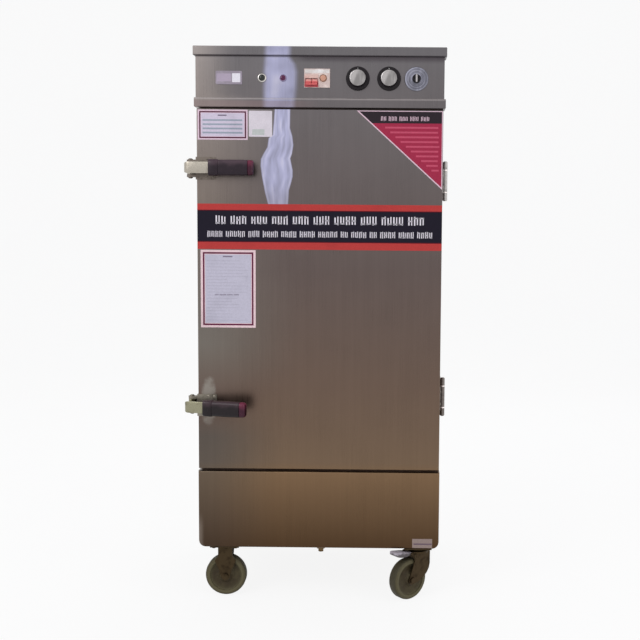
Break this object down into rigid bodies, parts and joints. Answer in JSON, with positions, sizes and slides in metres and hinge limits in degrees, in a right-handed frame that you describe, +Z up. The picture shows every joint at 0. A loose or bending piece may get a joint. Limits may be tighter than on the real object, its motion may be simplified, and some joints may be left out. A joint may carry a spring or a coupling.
{
  "type": "rice steamer cabinet",
  "caption": "Upright insulated steel steam cabinet on casters, with a hinged door, lever latches, a control panel and trays on racks above a heated water tank.",
  "frame": {"origin": "middle of the bounding box in x and y, on the floor", "axes": "+Z up, -Y out of the door's front, +X to the right as seen from the front"},
  "size_m": [0.776, 0.744, 1.656],
  "materials": {
    "brushed_steel": "brushed, satin",
    "liner_steel": "smooth sheet",
    "chrome": "plated casting",
    "zinc": "dull zinc plate",
    "black_plastic": "moulded, satin",
    "foam": "rigid foam",
    "seal_rubber": "matt",
    "badge": "blank plate, satin",
    "handle_red": "dipped",
    "lamp_green": "clear lens, unlit",
    "lamp_red": "clear lens, unlit",
    "breaker_cream": "moulded",
    "toggle_red": "moulded",
    "button_tan": "moulded",
    "selector_plate": "turned",
    "caster_olive": "moulded, dusty"
  },
  "bodies": {
    "cabinet": {"side_panel_left": "brushed_steel", "side_panel_right": "brushed_steel", "back_panel": "brushed_steel", "roof_panel": "brushed_steel", "front_frame": "brushed_steel", "chassis_pan": "brushed_steel", "base_front_panel": "brushed_steel", "control_fascia": "brushed_steel", "chamber_liner": "liner_steel", "insulation_jacket": "foam", "water_tank": "liner_steel", "tray_rack_left": "liner_steel", "tray_rack_right": "liner_steel", "tray_lower": "liner_steel", "tray_upper": "liner_steel", "heating_element": "zinc", "drain_valve": "zinc", "steam_vent": "brushed_steel", "cable_gland": "black_plastic", "hinge_frame_leaf_upper": "zinc", "hinge_frame_leaf_lower": "zinc", "blank_badge": "badge", "pilot_lamp_left": "lamp_green", "pilot_lamp_right": "lamp_red", "breaker_body": "breaker_cream", "selector_plate": "selector_plate", "caster_fork_front_left": "zinc", "caster_fork_rear_left": "zinc", "caster_axle_front_left": "zinc", "caster_axle_rear_left": "zinc", "caster_plate_front_right": "zinc", "caster_plate_rear_right": "zinc"},
    "door": {"door_shell": "brushed_steel", "door_insulation": "foam", "door_inner_panel": "liner_steel", "door_gasket": "seal_rubber", "hinge_door_leaf_upper": "zinc", "hinge_door_leaf_lower": "zinc", "latch_bracket_upper": "chrome", "latch_bracket_lower": "chrome"},
    "latch_upper": {"latch_lever_upper": "chrome", "latch_grip_upper": "black_plastic"},
    "latch_lower": {"latch_lever_lower": "chrome", "latch_grip_lower": "black_plastic"},
    "toggle": {"breaker_toggle": "toggle_red"},
    "test_button": {"breaker_test_button": "button_tan"},
    "timer": {"timer_knob": "black_plastic"},
    "thermostat": {"thermostat_knob": "black_plastic"},
    "selector": {"selector_rotor": "black_plastic"},
    "drain_lever": {"drain_handle": "handle_red"},
    "wheel_front_left": {"caster_wheel_front_left": "caster_olive"},
    "wheel_rear_left": {"caster_wheel_rear_left": "caster_olive"},
    "swivel_front_right": {"caster_fork_front_right": "zinc", "caster_axle_front_right": "zinc"},
    "swivel_rear_right": {"caster_fork_rear_right": "zinc", "caster_axle_rear_right": "zinc"},
    "wheel_front_right": {"caster_wheel_front_right": "caster_olive"},
    "wheel_rear_right": {"caster_wheel_rear_right": "caster_olive"},
    "pedal_front_right": {"brake_pedal_front_right": "zinc"},
    "pedal_rear_right": {"brake_pedal_rear_right": "zinc"}
  },
  "joints": [
    {"name": "door_swing", "type": "hinge", "parent": "cabinet", "child": "door", "pos_m": [0.38123, -0.22476, 0.94], "axis": [0, 0, 1], "range_deg": [0, 170]},
    {"name": "latch_upper_turn", "type": "hinge", "parent": "door", "child": "latch_upper", "pos_m": [-0.37517, -0.26196, 1.3015], "axis": [0, 0, -1], "range_deg": [0, 100]},
    {"name": "latch_lower_turn", "type": "hinge", "parent": "door", "child": "latch_lower", "pos_m": [-0.37517, -0.26196, 0.596], "axis": [0, 0, -1], "range_deg": [-14, 86]},
    {"name": "breaker_flip", "type": "hinge", "parent": "cabinet", "child": "toggle", "pos_m": [0.00098, -0.27346, 1.55536], "axis": [-1, 0, 0], "range_deg": [0, 60]},
    {"name": "test_button_press", "type": "slide", "parent": "cabinet", "child": "test_button", "axis": [0, 1, 0], "range_m": [0, 0.002], "stiffness_N_per_m": 300},
    {"name": "timer_turn", "type": "hinge", "parent": "cabinet", "child": "timer", "pos_m": [0.12, -0.27796, 1.56501], "axis": [0, 1, 0], "range_deg": [0, 300]},
    {"name": "thermostat_turn", "type": "hinge", "parent": "cabinet", "child": "thermostat", "pos_m": [0.21126, -0.27796, 1.56501], "axis": [0, 1, 0], "range_deg": [0, 270]},
    {"name": "selector_turn", "type": "hinge", "parent": "cabinet", "child": "selector", "pos_m": [0.29157, -0.27796, 1.56501], "axis": [0, 1, 0], "range_deg": [-45, 45]},
    {"name": "drain_turn", "type": "hinge", "parent": "cabinet", "child": "drain_lever", "pos_m": [0.00903, -0.16096, 0.144], "axis": [0, 1, 0], "range_deg": [0, 90]},
    {"name": "wheel_front_left_roll", "type": "hinge", "parent": "cabinet", "child": "wheel_front_left", "pos_m": [-0.27897, -0.23196, 0.0625], "axis": [0, 1, 0], "continuous": true},
    {"name": "wheel_rear_left_roll", "type": "hinge", "parent": "cabinet", "child": "wheel_rear_left", "pos_m": [-0.27897, 0.28004, 0.0625], "axis": [0, 1, 0], "continuous": true},
    {"name": "swivel_front_right_turn", "type": "hinge", "parent": "cabinet", "child": "swivel_front_right", "pos_m": [0.31053, -0.23196, 0.1392], "axis": [0, 0, 1], "continuous": true},
    {"name": "swivel_rear_right_turn", "type": "hinge", "parent": "cabinet", "child": "swivel_rear_right", "pos_m": [0.31053, 0.28004, 0.1392], "axis": [0, 0, 1], "continuous": true},
    {"name": "wheel_front_right_roll", "type": "hinge", "parent": "swivel_front_right", "child": "wheel_front_right", "pos_m": [0.27989, -0.25767, 0.0625], "axis": [0.6428, -0.766, 0], "continuous": true},
    {"name": "wheel_rear_right_roll", "type": "hinge", "parent": "swivel_rear_right", "child": "wheel_rear_right", "pos_m": [0.33348, 0.24727, 0.0625], "axis": [0.8192, 0.5736, 0], "continuous": true},
    {"name": "pedal_front_right_press", "type": "hinge", "parent": "swivel_front_right", "child": "pedal_front_right", "pos_m": [0.28028, -0.25735, 0.1427], "axis": [0.6428, -0.766, 0], "range_deg": [0, 12]},
    {"name": "pedal_rear_right_press", "type": "hinge", "parent": "swivel_rear_right", "child": "pedal_rear_right", "pos_m": [0.33319, 0.24768, 0.1427], "axis": [0.8192, 0.5736, 0], "range_deg": [0, 12]}
  ]
}
